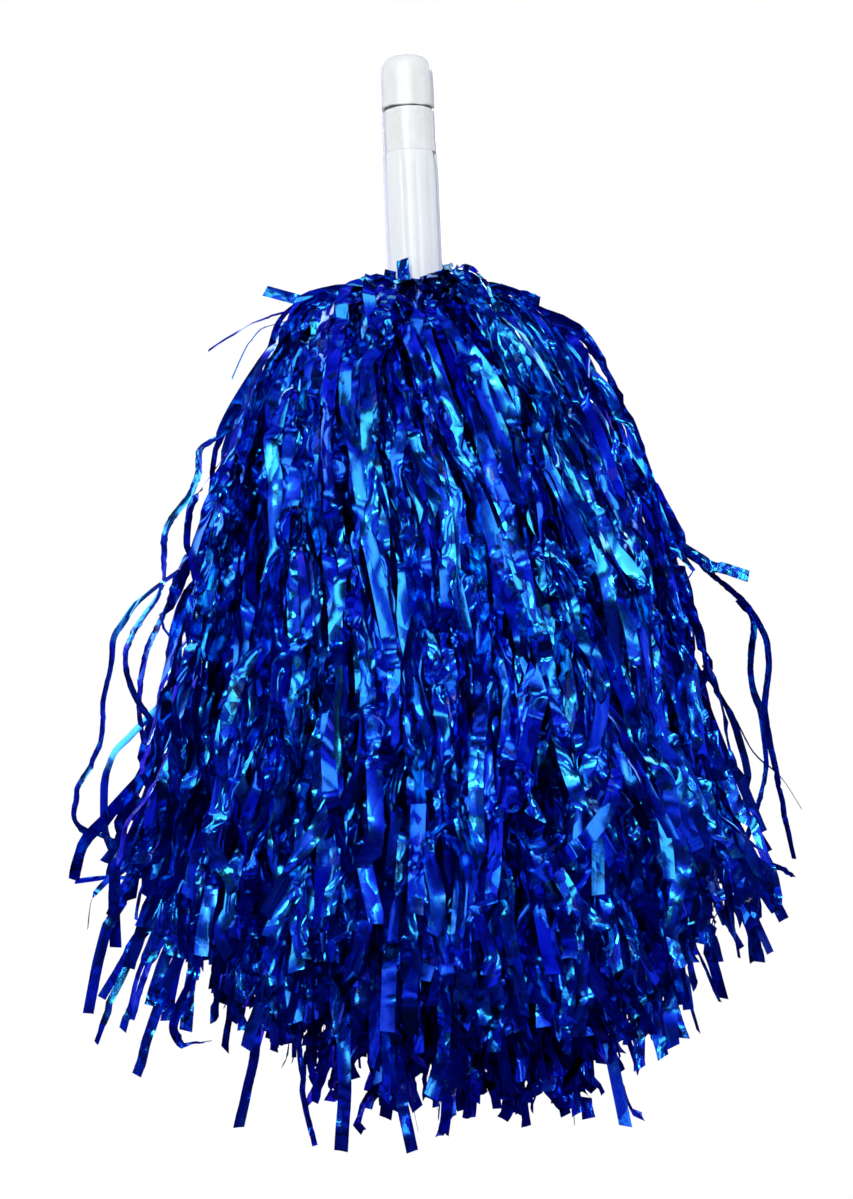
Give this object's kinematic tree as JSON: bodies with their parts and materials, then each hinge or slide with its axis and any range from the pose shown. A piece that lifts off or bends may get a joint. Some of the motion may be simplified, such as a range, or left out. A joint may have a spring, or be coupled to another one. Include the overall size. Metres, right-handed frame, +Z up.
{
  "type": "cheer pom pom",
  "caption": "White plastic stick handle with a flat-topped cap, carrying a bell of hanging slit metallic blue film strips in tufts that swing outward.",
  "frame": {"origin": "on the stick's axis, at the middle of its bare length, where a hand holds it", "axes": "+Z up along the stick, out through the cap's flat top; +X and +Y through the middles of two tufts"},
  "size_m": [0.24, 0.24, 0.3796],
  "materials": {
    "cap_plastic": "moulded, softly glossy",
    "handle_plastic": "moulded, glossy",
    "sleeve_plastic": "fluted, glossy",
    "tube_plastic": "plain extruded",
    "film_outer": "metallised blue film, crinkled",
    "film_inner": "metallised blue film, crinkled",
    "header_film": "metallised blue film, wound",
    "tape": "clear tape, several turns",
    "wire": "drawn wire"
  },
  "bodies": {
    "handle": {"top_cap": "cap_plastic", "handle_collar": "handle_plastic", "grip_sleeve": "sleeve_plastic", "handle_tube": "tube_plastic", "tube_plug": "tube_plastic", "inner_header": "header_film", "outer_header": "header_film", "binding_tape": "tape", "tie_wire": "wire", "neck_frill": "film_outer", "core_fringe": "film_inner"},
    "outer_tuft_1": {"outer_tuft_1": "film_outer"},
    "inner_tuft_1": {"inner_tuft_1": "film_inner"},
    "outer_tuft_2": {"outer_tuft_2": "film_outer"},
    "inner_tuft_2": {"inner_tuft_2": "film_inner"},
    "outer_tuft_3": {"outer_tuft_3": "film_outer"},
    "inner_tuft_3": {"inner_tuft_3": "film_inner"},
    "outer_tuft_4": {"outer_tuft_4": "film_outer"},
    "inner_tuft_4": {"inner_tuft_4": "film_inner"},
    "outer_tuft_5": {"outer_tuft_5": "film_outer"},
    "inner_tuft_5": {"inner_tuft_5": "film_inner"},
    "outer_tuft_6": {"outer_tuft_6": "film_outer"},
    "inner_tuft_6": {"inner_tuft_6": "film_inner"},
    "outer_tuft_7": {"outer_tuft_7": "film_outer"},
    "inner_tuft_7": {"inner_tuft_7": "film_inner"},
    "outer_tuft_8": {"outer_tuft_8": "film_outer"},
    "inner_tuft_8": {"inner_tuft_8": "film_inner"}
  },
  "joints": [
    {"name": "outer_tuft_1_swing", "type": "hinge", "parent": "handle", "child": "outer_tuft_1", "pos_m": [0.015, 0, -0.052], "axis": [0, -1, 0], "range_deg": [0, 70]},
    {"name": "inner_tuft_1_swing", "type": "hinge", "parent": "handle", "child": "inner_tuft_1", "pos_m": [0.015, 0, -0.052], "axis": [0, -1, 0], "range_deg": [0, 35]},
    {"name": "outer_tuft_2_swing", "type": "hinge", "parent": "handle", "child": "outer_tuft_2", "pos_m": [0.01061, 0.01061, -0.052], "axis": [0.7071, -0.7071, 0], "range_deg": [0, 70]},
    {"name": "inner_tuft_2_swing", "type": "hinge", "parent": "handle", "child": "inner_tuft_2", "pos_m": [0.01061, 0.01061, -0.052], "axis": [0.7071, -0.7071, 0], "range_deg": [0, 35]},
    {"name": "outer_tuft_3_swing", "type": "hinge", "parent": "handle", "child": "outer_tuft_3", "pos_m": [0, 0.015, -0.052], "axis": [1, 0, 0], "range_deg": [0, 70]},
    {"name": "inner_tuft_3_swing", "type": "hinge", "parent": "handle", "child": "inner_tuft_3", "pos_m": [0, 0.015, -0.052], "axis": [1, 0, 0], "range_deg": [0, 35]},
    {"name": "outer_tuft_4_swing", "type": "hinge", "parent": "handle", "child": "outer_tuft_4", "pos_m": [-0.01061, 0.01061, -0.052], "axis": [0.7071, 0.7071, 0], "range_deg": [0, 70]},
    {"name": "inner_tuft_4_swing", "type": "hinge", "parent": "handle", "child": "inner_tuft_4", "pos_m": [-0.01061, 0.01061, -0.052], "axis": [0.7071, 0.7071, 0], "range_deg": [0, 35]},
    {"name": "outer_tuft_5_swing", "type": "hinge", "parent": "handle", "child": "outer_tuft_5", "pos_m": [-0.015, 0, -0.052], "axis": [0, 1, 0], "range_deg": [0, 70]},
    {"name": "inner_tuft_5_swing", "type": "hinge", "parent": "handle", "child": "inner_tuft_5", "pos_m": [-0.015, 0, -0.052], "axis": [0, 1, 0], "range_deg": [0, 35]},
    {"name": "outer_tuft_6_swing", "type": "hinge", "parent": "handle", "child": "outer_tuft_6", "pos_m": [-0.01061, -0.01061, -0.052], "axis": [-0.7071, 0.7071, 0], "range_deg": [0, 70]},
    {"name": "inner_tuft_6_swing", "type": "hinge", "parent": "handle", "child": "inner_tuft_6", "pos_m": [-0.01061, -0.01061, -0.052], "axis": [-0.7071, 0.7071, 0], "range_deg": [0, 35]},
    {"name": "outer_tuft_7_swing", "type": "hinge", "parent": "handle", "child": "outer_tuft_7", "pos_m": [0, -0.015, -0.052], "axis": [-1, 0, 0], "range_deg": [0, 70]},
    {"name": "inner_tuft_7_swing", "type": "hinge", "parent": "handle", "child": "inner_tuft_7", "pos_m": [0, -0.015, -0.052], "axis": [-1, 0, 0], "range_deg": [0, 35]},
    {"name": "outer_tuft_8_swing", "type": "hinge", "parent": "handle", "child": "outer_tuft_8", "pos_m": [0.01061, -0.01061, -0.052], "axis": [-0.7071, -0.7071, 0], "range_deg": [0, 70]},
    {"name": "inner_tuft_8_swing", "type": "hinge", "parent": "handle", "child": "inner_tuft_8", "pos_m": [0.01061, -0.01061, -0.052], "axis": [-0.7071, -0.7071, 0], "range_deg": [0, 35]}
  ],
  "couplings": [
    {"joint": "inner_tuft_1_swing", "follows": "outer_tuft_1_swing", "ratio": 0.5},
    {"joint": "inner_tuft_2_swing", "follows": "outer_tuft_2_swing", "ratio": 0.5},
    {"joint": "inner_tuft_3_swing", "follows": "outer_tuft_3_swing", "ratio": 0.5},
    {"joint": "inner_tuft_4_swing", "follows": "outer_tuft_4_swing", "ratio": 0.5},
    {"joint": "inner_tuft_5_swing", "follows": "outer_tuft_5_swing", "ratio": 0.5},
    {"joint": "inner_tuft_6_swing", "follows": "outer_tuft_6_swing", "ratio": 0.5},
    {"joint": "inner_tuft_7_swing", "follows": "outer_tuft_7_swing", "ratio": 0.5},
    {"joint": "inner_tuft_8_swing", "follows": "outer_tuft_8_swing", "ratio": 0.5}
  ]
}
